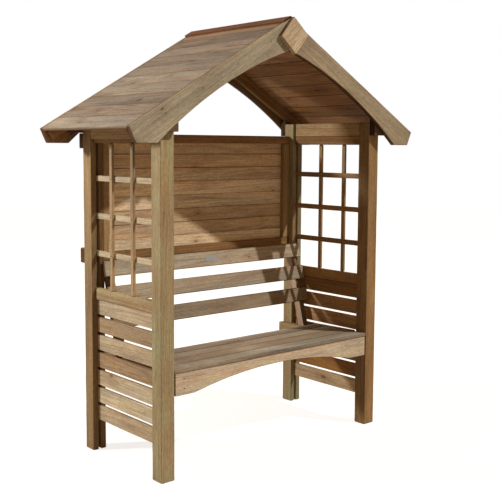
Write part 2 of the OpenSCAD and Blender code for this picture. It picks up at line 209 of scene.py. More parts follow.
# Colours of each finish, and how strongly stains, smudges, knots and the darkening along joints (dirt and
# painted shade) show
timberLooks = {
    "frameTimber": {
        "pale": (183, 161, 123), "warm": (156, 129, 93), "late": (123, 95, 63), "knot": (92, 66, 44),
        "stain": (135, 141, 107), "stainShare": 0.75, "streak": 0.6,
        "smudge": 0.3, "knotShare": 0.06, "joint": 0.25,
    },
    "boardTimber": {
        "pale": (196, 182, 155), "warm": (172, 147, 115), "late": (134, 103, 72), "knot": (104, 74, 50),
        "stain": (160, 155, 114), "stainShare": 0.5, "ring": 0.0095,
        "smudge": 0.4, "knotShare": 0.12, "joint": 0.3, "rough": 0.66,
    },
    "panelTimber": {
        "pale": (208, 182, 151), "warm": (181, 146, 113), "late": (141, 104, 74), "knot": (98, 66, 44),
        "stain": (166, 148, 102), "stainShare": 0.5, "streak": 0.6,
        "smudge": 0.5, "knotShare": 0.35, "joint": 1.3,
    },
    "trellisTimber": {
        "pale": (192, 180, 153), "warm": (172, 155, 126), "late": (143, 121, 91), "knot": (120, 88, 62),
        "stain": (158, 155, 122), "stainShare": 0.4,
        "smudge": 0.2, "knotShare": 0.02,
    },
    "seatTimber": {
        "pale": (182, 170, 149), "warm": (160, 136, 113), "late": (122, 94, 72), "knot": (98, 70, 52),
        "stain": (146, 142, 116), "stainShare": 0.5,
        "smudge": 0.5, "knotShare": 0.1, "joint": 1.3, "rough": 0.64,
    },
    "roofTimber": {
        "pale": (162, 150, 133), "warm": (142, 122, 101), "late": (106, 84, 64), "knot": (86, 64, 46),
        "stain": (132, 128, 104), "stainShare": 0.4, "ring": 0.009, "streak": 0.6,
        "smudge": 0.75, "knotShare": 0.25, "joint": 0.55,
    },
    "bargeTimber": {
        "pale": (172, 162, 139), "warm": (158, 143, 118), "late": (113, 92, 68), "knot": (84, 60, 42),
        "stain": (137, 139, 112), "stainShare": 0.35, "ring": 0.0095,
        "smudge": 0.35, "knotShare": 0.3, "joint": 0.35, "rough": 0.66,
    },
    "ridgeTimber": {
        "pale": (110, 77, 45), "warm": (93, 56, 28), "late": (71, 38, 18), "knot": (60, 38, 26),
        "stain": (86, 66, 36), "stainShare": 0.2, "ring": 0.008,
        "smudge": 0.3, "knotShare": 0.05,
    },
}

# Noise layers: scale along and across the grain, detail, roughness, and share in a board's lightness
grainLayers = {
    "fibre": (5.0, 420.0, 3.0, 0.6, 0.6),
    "threads": (1.3, 115.0, 2.0, 0.6, 0.7),
    "mottle": (45.0, 170.0, 2.0, 0.6, 0.9),
    "streak": (0.9, 34.0, 3.0, 0.6, 0.8),
    "blotch": (3.0, 14.0, 3.0, 0.6, 1.1),
    "broad": (0.7, 7.0, 2.0, 0.55, 1.2),
    "dashes": (3.2, 38.0, 3.0, 0.6, 0.0),
}

grainPattern = {
    "knotCells": (4.2, 9.0),  # cells a metre, along and across
    "knotRadius": (0.045, 0.05),  # smallest, and the most that is added, in cells
    "knotProfile": ((0.0, 1.0), (0.5, 0.65), (0.8, 0.9), (1.0, 0.0)),
    "knotShow": 0.75,
    "haloHalf": 2.0,  # knot radii over which a halo falls by half
    "haloShow": 0.6,
    "haloPush": 0.014,  # metres that a knot pushes the rings
    "drift": (1.6, 7.0, 1.0, 0.5),  # noise that moves the heart, as in the layers above
    "driftReach": 0.02,
    "uneven": (1.2, 34.0, 1.0, 0.5),  # noise that spaces the rings unevenly
    "unevenRings": 1.6,
    "ringProfile": ((0.0, 0.0), (0.45, 0.12), (0.86, 1.0), (1.0, 0.0)),
    "warmFrom": ((0.38, 0.0), (0.62, 1.0)),  # each profile: places, and the strength at them
    "stainFrom": ((0.35, 0.0), (0.7, 1.0)),
    "smudgeFrom": ((0.54, 0.0), (0.72, 1.0)),
    "redTakes": (0.0, -0.32, -0.58),  # what a redness of 1 adds to red, green and blue
    "endTint": (0.24, 0.15, 0.085, 1.0),
    # brown for the darkening along long edges: dirt, and painted shade between boards
    "dirtAndShadeTint": (0.2, 0.13, 0.08, 1.0),
    "dirtAndShadeFrom": ((0.35, 1.0), (1.0, 0.0)),
    "dirtAndShadeReach": 0.004,  # metres from a board's long edge
    "dirtAndShadePlain": 0.6,  # edge darkening, dirt and painted shade, on a board of no redness
    "bump": (0.35, 0.0008),  # strength, and depth in metres
    "bumpFibre": 0.6,
    "bumpRings": 0.5,
    "sheen": 0.12,
    "roughSpread": 0.16,
}


def timberFinish(name, look):
    # Solid timber: growth rings are cylinders r = sqrt(v^2 + w^2) about a heart line that wanders,
    # darkening towards each ring's edge; knots are round cells that push the rings aside.
    kit, look = grainPattern, {**timberCommon, **look}
    material, tree = emptyMaterial(name)

    def sums(operation, *values, clamp=False):
        inputs = dict(enumerate(values))
        return addNode(tree, "ShaderNodeMath", inputs, operation=operation, use_clamp=clamp).outputs[0]

    def plus(a, b):
        return sums("ADD", a, b)

    def times(a, b):
        return sums("MULTIPLY", a, b)

    def vectors(operation, *values):
        return addNode(tree, "ShaderNodeVectorMath", dict(enumerate(values)), operation=operation).outputs[0]

    def split(kind, value):
        return addNode(tree, kind, {0: value}).outputs

    def noise(along, across, detail, rough):
        # Noise drawn out along the grain: its scales are along and across it.
        place = vectors("MULTIPLY", grain, (along, across, across))
        return addNode(tree, "ShaderNodeTexNoise",
            {"Vector": place, "Scale": 1.0, "Detail": detail, "Roughness": rough}).outputs

    def ramp(value, stops):
        # A smooth curve through the stops, each a place and a level.
        node = addNode(tree, "ShaderNodeValToRGB", {0: value})
        node.color_ramp.interpolation = "EASE"
        elements = node.color_ramp.elements
        while len(elements) < len(stops):
            elements.new(0.5)
        for element, (at, level) in zip(elements, stops):
            element.position = at
            element.color = (level, level, level, 1.0)
        return node.outputs[0]

    def blend(share, a, b, kind="MIX"):
        # a turned into b, or into a times b, by share
        inputs = {0: share, 6: a, 7: b}
        return addNode(tree, "ShaderNodeMix", inputs, data_type="RGBA", blend_type=kind).outputs[2]

    def stored(key):
        # What the mesh keeps on its points under that name
        return addNode(tree, "ShaderNodeAttribute", attribute_name=key).outputs

    grain = stored("grain")["Vector"]
    tone = stored("tone")
    lightness, redness, greenness = split("ShaderNodeSeparateColor", tone["Color"])[:3]
    late = colour(*look["late"])

    # knots: cells twice as long as wide, some of them empty
    along, across = kit["knotCells"]
    place = vectors("MULTIPLY", grain, (along, across, across))
    cells = addNode(tree, "ShaderNodeTexVoronoi", {"Vector": place, "Scale": 1.0, "Randomness": 1.0},
        voronoi_dimensions="2D", feature="F1")
    picks = split("ShaderNodeSeparateColor", cells.outputs["Color"])
    present = sums("LESS_THAN", picks[0], look["knotShare"])
    smallest, added = kit["knotRadius"]
    near = sums("DIVIDE", cells.outputs["Distance"], sums("MULTIPLY_ADD", picks[1], added, smallest))
    knotCore = times(times(ramp(near, kit["knotProfile"]), present), kit["knotShow"])
    halo = times(sums("POWER", 0.5, times(near, 1.0 / kit["haloHalf"])), present)

    # rings about the wandering heart
    reach = (0.0, kit["driftReach"], kit["driftReach"])
    shifted = vectors("MULTIPLY_ADD", noise(*kit["drift"])["Color"], reach, grain)
    v, w = split("ShaderNodeSeparateXYZ", shifted)[1:3]
    r = sums("SQRT", plus(times(v, v), times(w, w)))
    count = sums("DIVIDE", plus(r, times(halo, kit["haloPush"])), look["ring"])
    count = plus(count, times(noise(*kit["uneven"])[0], kit["unevenRings"]))
    rings = ramp(sums("FRACT", count), kit["ringProfile"])

    layers = {key: noise(*values[:4])[0] for key, values in grainLayers.items()}
    mixed = plus(times(layers["streak"], look["streak"]), times(layers["broad"], 1.0 - look["streak"]))
    shade = blend(ramp(mixed, kit["warmFrom"]), colour(*look["pale"]), colour(*look["warm"]))
    shade = blend(times(rings, look["ringShow"]), shade, late)
    stain = times(times(ramp(layers["blotch"], kit["stainFrom"]), look["stainShare"]), greenness)
    shade = blend(stain, shade, colour(*look["stain"]))
    shade = blend(times(ramp(layers["dashes"], kit["smudgeFrom"]), look["smudge"]), shade, late)
    shade = blend(times(halo, kit["haloShow"]), shade, late)
    shade = blend(knotCore, shade, colour(*look["knot"]))
    tint = vectors("MULTIPLY_ADD", redness, kit["redTakes"], (1.0, 1.0, 1.0))
    shade = blend(1.0, shade, tint, "MULTIPLY")
    level = plus(lightness, 0.5)
    for key, values in grainLayers.items():
        share = values[4]
        if share:
            level = times(level, plus(times(layers[key], share), 1.0 - share / 2))
    shade = blend(tone["Alpha"], shade, blend(1.0, shade, kit["endTint"], "MULTIPLY"))
    if look["joint"]:
        # brown darkening along a board's long edges: partly dirt in the joints, partly painted shade in the
        # gaps between boards, strongest where redness is high, as on the faces given painted shade
        rim = split("ShaderNodeSeparateXYZ", stored("rim")["Vector"])
        edge = sums("DIVIDE", sums("MINIMUM", rim[0], rim[1]), kit["dirtAndShadeReach"])
        dirtAndShade = times(ramp(edge, kit["dirtAndShadeFrom"]), look["joint"])
        dirtAndShade = sums("MULTIPLY", dirtAndShade, plus(redness, kit["dirtAndShadePlain"]), clamp=True)
        shade = blend(dirtAndShade, shade, blend(1.0, shade, kit["dirtAndShadeTint"], "MULTIPLY"))
    dim = addNode(tree, "ShaderNodeVectorMath", {0: shade, "Scale": level}, operation="SCALE")

    strength, distance = kit["bump"]
    height = sums("SUBTRACT", times(layers["fibre"], kit["bumpFibre"]), times(rings, kit["bumpRings"]))
    bump = addNode(tree, "ShaderNodeBump", {"Strength": strength, "Distance": distance, "Height": height})
    dull = plus(times(layers["fibre"], kit["roughSpread"]), look["rough"] - kit["roughSpread"] / 2)
    surface = addNode(tree, "ShaderNodeBsdfPrincipled", {
        "Base Color": dim.outputs[0], "Roughness": dull, "Normal": bump.outputs[0],
        "Specular IOR Level": kit["sheen"]})
    addNode(tree, "ShaderNodeOutputMaterial", {"Surface": surface.outputs[0]})
    return material


finishes = {name: timberFinish(name, look) for name, look in timberLooks.items()}
print("finishes made", len(finishes))

boardShape = {
    "ease": 0.003,  # radius of a worn arris
    "easeMost": 0.24,  # its largest share of a board's narrow side
    "wear": 0.45,  # how much that radius varies along a board
    "waves": (5, 40),  # its waves, in radians a metre
    "wavePhase": 6.28,
    "waveCount": 4,
    "arcSteps": 2,
    "station": 0.06,  # distance between sections along a board
    "fewest": 3,
    "heart": (0.012, 0.075),  # distance of the growth centre from the board's middle
    "lean": 0.03,  # how far the heart runs off the board's line
    "grainShift": 60,  # metres of timber that boards are taken from
    "lightness": 0.1,
    "redness": (0.0, 0.3),
    "greenness": (0.1, 0.5),
    "brighter": 0.0,
    "farFaceShade": (0.0, 0.0),  # painted shade: lightness and redness added to the far face
    "under": (0.0, 0.0),  # the same for the narrow face along the first edge: painted shade under the bargeboards, painted light on the right bracket's front
}


def plank(edgeA, edgeB, through, rng, axis=None, **changes):
    # A board between two edge lines A(s) and B(s), thickened along t:
    # P(s, a) = A + e x(a) + t y(a), with e from A to B, and (x, y) a rectangle with round corners.
    kit = {**boardShape, **changes}
    edgeA, edgeB = np.asarray(edgeA, float), np.asarray(edgeB, float)
    both = through if np.ndim(through[0]) else (through, through)
    throughA, throughB = (np.asarray(v, float) for v in both)
    thick = np.linalg.norm((throughA + throughB) / 2)
    width = np.linalg.norm(edgeB - edgeA, axis=1)
    middle = (edgeA + edgeB) / 2
    path = np.gradient(middle, axis=0)
    total = np.linalg.norm(np.diff(middle, axis=0), axis=1).sum()
    ease = np.minimum(kit["ease"], kit["easeMost"] * np.minimum(width, thick))

    # each end gets a second section, a little way in, for its worn edge
    step = np.clip(ease[[0, -1]] / np.linalg.norm(middle[[1, -1]] - middle[[0, -2]], axis=1), 0, 0.5)

    def withEnds(a):
        # The line with a point added at step of the way into its first and last stretch
        first = a[0] + (a[1] - a[0]) * step[0]
        last = a[-1] + (a[-2] - a[-1]) * step[1]
        return np.concatenate([a[:1], first[None], a[1:-1], last[None], a[-1:]])

    edgeA, edgeB = withEnds(edgeA), withEnds(edgeB)
    run = edgeB - edgeA
    width = np.linalg.norm(run, axis=1)
    e = run / width[:, None]
    count = len(width)
    s = np.linspace(0.0, total, count)
    waves = kit["waveCount"]
    rates, phases = rng.uniform(*kit["waves"], waves), rng.uniform(0, kit["wavePhase"], waves)
    wear = sum(np.sin(s * f + p) for f, p in zip(rates, phases)) / waves
    ease = np.minimum(kit["ease"] * (1 + kit["wear"] * wear), kit["easeMost"] * np.minimum(width, thick))

    corner = np.repeat(np.arange(4), kit["arcSteps"] + 1)
    turn = np.radians(corner * 90 + np.tile(np.linspace(0, 90, kit["arcSteps"] + 1), 4))
    nx, ny = np.cos(turn), np.sin(turn)
    sx, sy = np.array([1, -1, -1, 1])[corner], np.array([1, 1, -1, -1])[corner]
    around = len(nx)
    inset = np.zeros(count)
    inset[[0, -1]] = ease[[0, -1]]
    half, deep = width[:, None] / 2 - inset[:, None], thick / 2 - inset[:, None]
    x = width[:, None] / 2 + sx * (half - ease[:, None]) + ease[:, None] * nx
    y = thick / 2 + sy * (deep - ease[:, None]) + ease[:, None] * ny
    share = (x / width[:, None])[..., None]
    t = (throughA * (1 - share) + throughB * share) / thick
    points = edgeA[:, None] + e[:, None] * x[..., None] + t * y[..., None]

    tMean = (throughA + throughB) / np.linalg.norm(throughA + throughB)
    along = np.gradient(points, axis=0)
    tangent = e[:, None] * -ny[:, None] + tMean * nx[:, None]
    normals = np.cross(tangent, along)
    outward = e[:, None] * nx[:, None] + tMean * ny[:, None]
    normals *= np.sign((normals * outward).sum(2, keepdims=True))
    ends = np.cross(e[[0, -1]], tMean)
    heading = path[[0, -1]] * np.array([[-1.0], [1.0]])
    ends *= np.sign((ends * heading).sum(1, keepdims=True))
    normals[0], normals[-1] = ends[0], ends[1]
    normals /= np.linalg.norm(normals, axis=2, keepdims=True)

    index = np.arange(count * around).reshape(count, around)
    after = np.roll(index, -1, axis=1)
    quads = np.stack([index[:-1], after[:-1], after[1:], index[1:]], -1).reshape(-1, 4)
    caps = [index[0][::-1], index[-1]]
    if np.dot(np.cross(e[count // 2], tMean), middle[-1] - middle[0]) < 0:
        quads = quads[:, ::-1]
        caps = [c[::-1] for c in caps]

    # the board's own coordinates, with the growth centre at v = w = 0
    line = middle[-1] - middle[0] if axis is None else np.asarray(axis, float)
    line = line / np.linalg.norm(line)
    across = np.cross(tMean, line)
    across /= np.linalg.norm(across)
    deepAxis = np.cross(line, across)
    local = points - middle.mean(axis=0)
    u, v, w = local @ line, local @ across, local @ deepAxis
    far = rng.uniform(*kit["heart"])
    angle = rng.uniform(0, 2 * np.pi)
    lean = rng.uniform(-kit["lean"], kit["lean"], 2)
    shift = rng.uniform(0, kit["grainShift"])
    fromHeart = v + far * np.cos(angle) + lean[0] * u, w + far * np.sin(angle) + lean[1] * u
    grain = np.stack([u + shift, *fromHeart], -1)
    tone = np.zeros((count, around, 4))  # a lightness of 0.5 leaves the finish as it is
    tone[..., 0] = 0.5 + kit["lightness"] * rng.uniform(-1, 1) + kit["brighter"]
    tone[..., 1] = rng.uniform(*kit["redness"])
    tone[..., 2] = rng.uniform(*kit["greenness"])
    # painted shade on the far face
    tone[..., :2] += np.where(y > thick / 2, 1.0, 0.0)[..., None] * np.array(kit["farFaceShade"])
    # the narrow face along the first edge: painted shade on some pieces, painted light on others
    tone[..., :2] += np.where(nx < -0.5, 1.0, 0.0)[:, None] * np.array(kit["under"])
    tone[[0, -1], :, 3] = 1.0
    rim = np.stack([x, width[:, None] - x, y], -1)
    return {
        "points": points.reshape(-1, 3), "normals": normals.reshape(-1, 3), "quads": quads, "caps": caps,
        "grain": grain.reshape(-1, 3), "tone": tone.reshape(-1, 4), "rim": rim.reshape(-1, 3),
    }


def straightLine(start, end, station=None):
    # Points evenly spaced from start to end.
    start, end = np.asarray(start, float), np.asarray(end, float)
    steps = int(round(np.linalg.norm(end - start) / (station or boardShape["station"])))
    return start + (end - start) * np.linspace(0, 1, max(boardShape["fewest"], steps) + 1)[:, None]


def squarePlank(low, high, rng, along=None, **changes):
    # A straight board that fills a box; the longest side is its run unless along says which.
    low, high = np.asarray(low, float), np.asarray(high, float)
    size = high - low
    run = int(np.argmax(size)) if along is None else "xyz".index(along)
    wide, thin = sorted([k for k in range(3) if k != run], key=lambda k: -size[k])
    far = low.copy()
    far[run] = high[run]
    edgeA = straightLine(low, far)
    edgeB = edgeA.copy()
    edgeB[:, wide] = high[wide]
    through = np.zeros(3)
    through[thin] = size[thin]
    return plank(edgeA, edgeB, through, rng, **changes)


def toned(tone, inner=None):
    # Changes that give a board its own lightness and redness, and painted shade on its far face.
    changes = {"brighter": tone[0], "redness": (tone[1], tone[1])}
    if inner:
        changes["farFaceShade"] = np.subtract(inner, tone)
    return changes


def newMesh(name, points, faces, finish, smooth=True):
    # A mesh of one finish from its points and faces.
    mesh = bpy.data.meshes.new(name)
    mesh.from_pydata(points.tolist(), [], faces)
    mesh.materials.append(finishes[finish])
    mesh.polygons.foreach_set("use_smooth", np.full(len(faces), smooth))
    mesh.update()
    return mesh


def onBody(mesh):
    # The mesh as a piece that rides on the body.
    piece = bpy.data.objects.new(mesh.name, mesh)
    scene.collection.objects.link(piece)
    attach(piece, "root")
    return piece


def timber(name, nodes, finish, boards):
    # Joins the boards into one mesh with its grain, tone and rim stored on the points.
    starts = np.cumsum([0] + [len(b["points"]) for b in boards])
    faces = []
    for b, start in zip(boards, starts):
        faces += (b["quads"] + start).tolist() + [(c + start).tolist() for c in b["caps"]]
    points = np.concatenate([b["points"] for b in boards])
    normals = np.concatenate([b["normals"] for b in boards])
    mesh = newMesh(name, points, faces, finish)
    vector, tint = ("FLOAT_VECTOR", "vector"), ("FLOAT_COLOR", "color")
    for key, (kind, field) in (("grain", vector), ("tone", tint), ("rim", vector)):
        data = np.concatenate([b[key] for b in boards]).astype(np.float32)
        mesh.attributes.new(key, kind, "POINT").data.foreach_set(field, data.ravel())
    mesh.normals_split_custom_set_from_vertices(normals.tolist())
    piece = onBody(mesh)
    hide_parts(*nodes)


def mirrored(points, side):
    # Right-hand points, or their mirror image for the left.
    return np.asarray(points, float) * np.array([side, 1.0, 1.0])


def boxOf(node):
    # A node's lowest and highest corners.
    low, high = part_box(node)
    return np.array(low), np.array(high)


sides = (("left", -1), ("right", 1))


postKit = {"seed": 12, "lightness": 0.04, "tones": {
    "front_left_post": {"brighter": 0.0, "redness": (-0.05, 0.0), "greenness": (0.8, 0.9)},
    "front_right_post": {"brighter": -0.2, "redness": (0.45, 0.55)},
    "rear_left_upright": {"brighter": -0.35, "redness": (0.3, 0.4)},
    "rear_right_upright": {"brighter": -0.3, "redness": (-0.3, -0.2), "greenness": (0.8, 1.0)},
    "back_left_leg": {"brighter": -0.3, "redness": (0.6, 0.7)},
    "back_right_leg": {"brighter": -0.15, "redness": (0.1, 0.15), "greenness": (0.9, 1.0)},
    "left_mid_rail": {"brighter": -0.2, "redness": (-0.1, 0.0), "greenness": (0.4, 0.6)},
    "right_mid_rail": {"brighter": -0.2, "redness": (0.7, 0.8)},
    "left_head_rail": {"brighter": -0.3, "redness": (0.6, 0.7)},
    "right_head_rail": {"brighter": -0.35, "redness": (0.75, 0.85)},
    "left_top_plate": {"brighter": -0.25, "redness": (0.4, 0.5)},
    "right_top_plate": {"brighter": -0.1, "redness": (0.2, 0.3)},
    "left_eaves_strip": {},
    "right_eaves_strip": {},
}}
for i, (node, tone) in enumerate(postKit["tones"].items()):
    rng = np.random.default_rng(postKit["seed"] + i)
    board = squarePlank(*boxOf(node), rng, lightness=postKit["lightness"], **tone)
    timber(node + "_timber", [node], "frameTimber", [board])
print("posts and rails done")


sideKit = {"seed": 40, "slat": 0.077, "gap": 0.013, "bar": 0.024, "levelBar": 0.028,
    "barThick": 0.015, "columns": 2, "rows": 3, "offset": 0.0145, "slatLook": {"lightness": 0.02},
    # lightness and redness per slat, lowest first, outside and inside; the darker, redder inside is painted
    # shade
    "slatTones": (
        ((0.0, 0.15), (0.0, 0.3)), ((0.1, -0.45), (-0.4, 1.3)), ((0.0, -0.15), (-0.4, 0.75)),
        ((-0.4, 0.35), (-0.25, 1.05)), ((-0.1, 0.0), (-0.05, 0.75)), ((-0.25, 0.35), (-0.3, 0.85)),
        ((-0.1, 0.0), (-0.5, 1.2))),
    "barLook": {"ease": 0.004, "lightness": 0.04}, "barSpread": 0.1,
    # the same for upright and level bars
    "barTones": {"left": ((-0.25, 0.5), (-0.05, 0.0)), "right": ((-0.3, 0.55), (-0.4, 0.8))}}
crossings = {}
for name, side in sides:
    rng = np.random.default_rng(sideKit["seed"] + side)
    low, high = boxOf(name + "_side_slats")
    outer, inner = (low[0], high[0])[::-side]
    boards = []
    for i, tones in enumerate(sideKit["slatTones"]):
        base = low[2] + i * (sideKit["slat"] + sideKit["gap"])
        boards.append(squarePlank((outer, low[1], base), (inner, high[1], base + sideKit["slat"]), rng,
            **sideKit["slatLook"], **toned(*tones)))
    timber(name + "_side_boards", [name + "_side_slats"], "boardTimber", boards)

    low, high = boxOf(name + "_trellis")
    front, back = boxOf("front_" + name + "_post")[1][1], boxOf("rear_" + name + "_upright")[0][1]
    top, foot = boxOf(name + "_head_rail")[0][2], boxOf(name + "_mid_rail")[1][2]
    bar, levelBar, thick = sideKit["bar"], sideKit["levelBar"], sideKit["barThick"]
    inner, outer = ((low[0], low[0] + thick), (high[0] - thick, high[0]))[::side]
    stepY = (back - front - sideKit["columns"] * bar) / (sideKit["columns"] + 1)
    stepZ = (top - foot - sideKit["rows"] * levelBar) / (sideKit["rows"] + 1)
    across = [front + stepY + i * (stepY + bar) - side * sideKit["offset"] for i in range(sideKit["columns"])]
    upward = [foot + stepZ + i * (stepZ + levelBar) for i in range(sideKit["rows"])]
    upright, level = ({**sideKit["barLook"], "brighter": b, "redness": (r, r + sideKit["barSpread"])}
        for b, r in sideKit["barTones"][name])
    boards = [squarePlank((outer[0], y, foot), (outer[1], y + bar, top), rng, **upright) for y in across]
    boards += [squarePlank((inner[0], low[1], z), (inner[1], high[1], z + levelBar), rng, **level)
        for z in upward]
    crossings[name] = [(y + bar / 2, z + levelBar / 2) for y in across for z in upward]
    timber(name + "_trellis_bars", [name + "_trellis"], "trellisTimber", boards)
print("sides done")


panelKit = {"seed": 61, "stile": 0.048,
    "boardLook": {"ease": 0.0022, "lightness": 0.02, "greenness": (0.2, 0.9)},
    # lightness and redness per board, lowest first
    "tones": (
        (0.45, -0.5), (0.15, -0.1), (0.0, -0.1), (0.5, -0.35),
        (0.7, -0.35), (0.35, -0.15), (0.3, -0.05), (0.25, -0.05)),
    "stileTone": {"brighter": 0.0, "lightness": 0.03, "redness": (0.3, 0.4)},
    "battenTone": {"brighter": -0.2, "lightness": 0.03, "redness": (-0.3, -0.2), "greenness": (0.8, 1.0)},
    "railTone": {"brighter": -0.25, "lightness": 0.03, "redness": (0.65, 0.75)}}
for node in ("back_panel_top_rail", "back_panel_low_rail", "back_top_batten", "back_low_batten"):
    rng = np.random.default_rng(panelKit["seed"] + len(node))
    tone = panelKit["battenTone" if "batten" in node else "railTone"]
    timber(node + "_timber", [node], "frameTimber", [squarePlank(*boxOf(node), rng, **tone)])
rng = np.random.default_rng(panelKit["seed"])
low, high = boxOf("back_panel_stiles")
boards = [squarePlank((x0, *low[1:]), (x1, *high[1:]), rng, along="z", **panelKit["stileTone"])
    for x0, x1 in ((low[0], low[0] + panelKit["stile"]), (high[0] - panelKit["stile"], high[0]))]
timber("back_panel_edges", ["back_panel_stiles"], "frameTimber", boards)
low, high = boxOf("back_panel_boards")
lift = (high[2] - low[2]) / len(panelKit["tones"])
boards = [squarePlank((*low[:2], low[2] + i * lift), (*high[:2], low[2] + (i + 1) * lift), rng,
    **panelKit["boardLook"], **toned(tone)) for i, tone in enumerate(panelKit["tones"])]
timber("back_panel_boarding", ["back_panel_boards"], "panelTimber", boards)
print("back panel done")


seatKit = {"seed": 83, "tilt": 1.5, "thick": 0.018, "gap": 0.0035, "joint": 0.0003,
    "flat": 0.115, "rise": 0.060, "archSteps": 41,
    "boardLook": {"lightness": 0.0, "greenness": (0.4, 0.9)},
    # lightness and redness per board, from the front
    "tones": ((0.1, -0.25), (-0.05, 0.0), (0.05, -0.1), (-0.1, 0.05)),
    "apronTone": {"brighter": 0.45, "lightness": 0.0, "redness": (-0.1, -0.1), "greenness": (0.9, 0.9)}}
tilt = math.radians(seatKit["tilt"])
low, high = boxOf("seat_boarding")
seatFront = low[1] + seatKit["thick"] * math.sin(tilt)
seatTop = high[2]
seatDepth = (high[1] - seatFront) / math.cos(tilt)
boardWide = (seatDepth + seatKit["gap"]) / len(seatKit["tones"]) - seatKit["gap"]


def onSeat(x, d):
    # A point of the seat's top face, d back from its front edge down a straight slope.
    return np.array([x, seatFront + d * math.cos(tilt), seatTop - d * math.sin(tilt)])


def seatUnder(y):
    # Height of the seat's underside: a straight fall towards the back.
    return seatTop - seatKit["thick"] / math.cos(tilt) - (y - seatFront) * math.tan(tilt)


rng = np.random.default_rng(seatKit["seed"])
through = np.array([0, -math.sin(tilt), -math.cos(tilt)]) * seatKit["thick"]
boards = []
for i, tone in enumerate(seatKit["tones"]):
    reach = high[0] if i else boxOf("front_right_post")[0][0] - seatKit["joint"]
    start = i * (boardWide + seatKit["gap"])
    edges = [straightLine(onSeat(-reach, d), onSeat(reach, d)) for d in (start, start + boardWide)]
    boards.append(plank(*edges, through, rng, **seatKit["boardLook"], **toned(tone)))
timber("seat_boards", ["seat_boarding"], "seatTimber", boards)

# Lower edge: level for flat at each end, then the circle z = low + rise - r + sqrt(r^2 - x^2)
low, high = boxOf("seat_apron")
chord = high[0] - seatKit["flat"]
radius = (chord ** 2 + seatKit["rise"] ** 2) / (2 * seatKit["rise"])
x = np.unique(np.concatenate([np.linspace(low[0], high[0], seatKit["archSteps"]), [-chord, chord]]))
lift = seatKit["rise"] - radius + np.sqrt(radius ** 2 - np.minimum(x ** 2, chord ** 2))
heights = low[2] + np.maximum(0, lift), np.full_like(x, high[2])
edges = [np.stack([x, np.full_like(x, low[1]), z], 1) for z in heights]
timber("seat_apron_board", ["seat_apron"], "seatTimber",
    [plank(*edges, (0, high[1] - low[1], 0), rng, **seatKit["apronTone"])])

for node in ("left_seat_bearer", "right_seat_bearer", "seat_middle_bearer"):
    low, high = boxOf(node)
    top = straightLine((low[0], low[1], 0), (low[0], high[1], 0))
    top[:, 2] = seatUnder(top[:, 1])
    foot = top.copy()
    foot[:, 2] = low[2] if "middle" in node else top[:, 2] - (top[-1, 2] - low[2])
    timber(node + "_timber", [node], "frameTimber",
        [plank(foot, top, (high[0] - low[0], 0, 0), rng)])
low, high = boxOf("seat_rear_rail")
timber("seat_rear_rail_timber", ["seat_rear_rail"], "frameTimber",
    [squarePlank(low, (high[0], high[1], seatUnder(high[1])), rng)])


backKit = {"seed": 97, "rake": 15.5, "slat": 0.080, "gap": 0.051, "thick": 0.020, "ease": 0.003,
    "bracketDeep": 0.045, "bracketShort": 0.004, "cutRepeats": 4,
    "slatLook": {"lightness": 0.02, "greenness": (0.6, 1.0)},
    # lightness and redness per slat, highest first
    "slatTones": ((0.1, -0.15), (0.0, -0.05), (-0.3, 0.1)),
    # the left bracket's dark tone is painted shade; the right bracket's lighter front face is painted light
    "bracketTones": {
        "left": {"brighter": -0.7, "redness": (0.3, 0.4)},
        "right": {"brighter": 0.15, "redness": (0.0, 0.1), "under": (0.5, 0.0)}}}
rake = math.radians(backKit["rake"])
cosR, sinR = math.cos(rake), math.sin(rake)
low, high = boxOf("seat_back_slats")
slatStep = backKit["slat"] + backKit["gap"]
drop = backKit["slat"] / 2 + (len(backKit["slatTones"]) - 1) * slatStep
originY = low[1] + drop * sinR
originZ = high[2] - backKit["slat"] / 2 * cosR + backKit["ease"] * sinR


def raked(x, depth, rise):
    # A point given by its depth behind the slats' face and its rise along them.
    return np.array([x, originY + depth * cosR + rise * sinR, originZ - depth * sinR + rise * cosR])


rng = np.random.default_rng(backKit["seed"])
through = raked(0, backKit["thick"], 0) - raked(0, 0, 0)
boards = []
for i, tone in enumerate(backKit["slatTones"]):
    top = backKit["slat"] / 2 - i * slatStep
    edges = [straightLine(raked(low[0], 0, z), raked(high[0], 0, z)) for z in (top, top - backKit["slat"])]
    boards.append(plank(*edges, through, rng, **backKit["slatLook"], **toned(tone)))
timber("seat_back_boards", ["seat_back_slats"], "seatTimber", boards)

# Bracket: two faces at fixed depths behind the slats, cut along the seat's underside
for name, side in sides:
    low, high = boxOf(name + "_back_bracket")
    rows = []
    for depth in (backKit["thick"], backKit["thick"] + backKit["bracketDeep"]):
        top = raked(low[0], depth, backKit["slat"] / 2 - backKit["bracketShort"])
        below = raked(low[0], depth, 0)
        slope = (top[1] - below[1]) / (top[2] - below[2])
        y = low[1]
        for _ in range(backKit["cutRepeats"]):
            y = top[1] - (top[2] - seatUnder(y)) * slope
        rows.append(straightLine((low[0], y, seatUnder(y)), top))
    timber(name + "_bracket_timber", [name + "_back_bracket"], "seatTimber",
        [plank(*rows, (high[0] - low[0], 0, 0), rng, **backKit["bracketTones"][name])])
print("seat done")


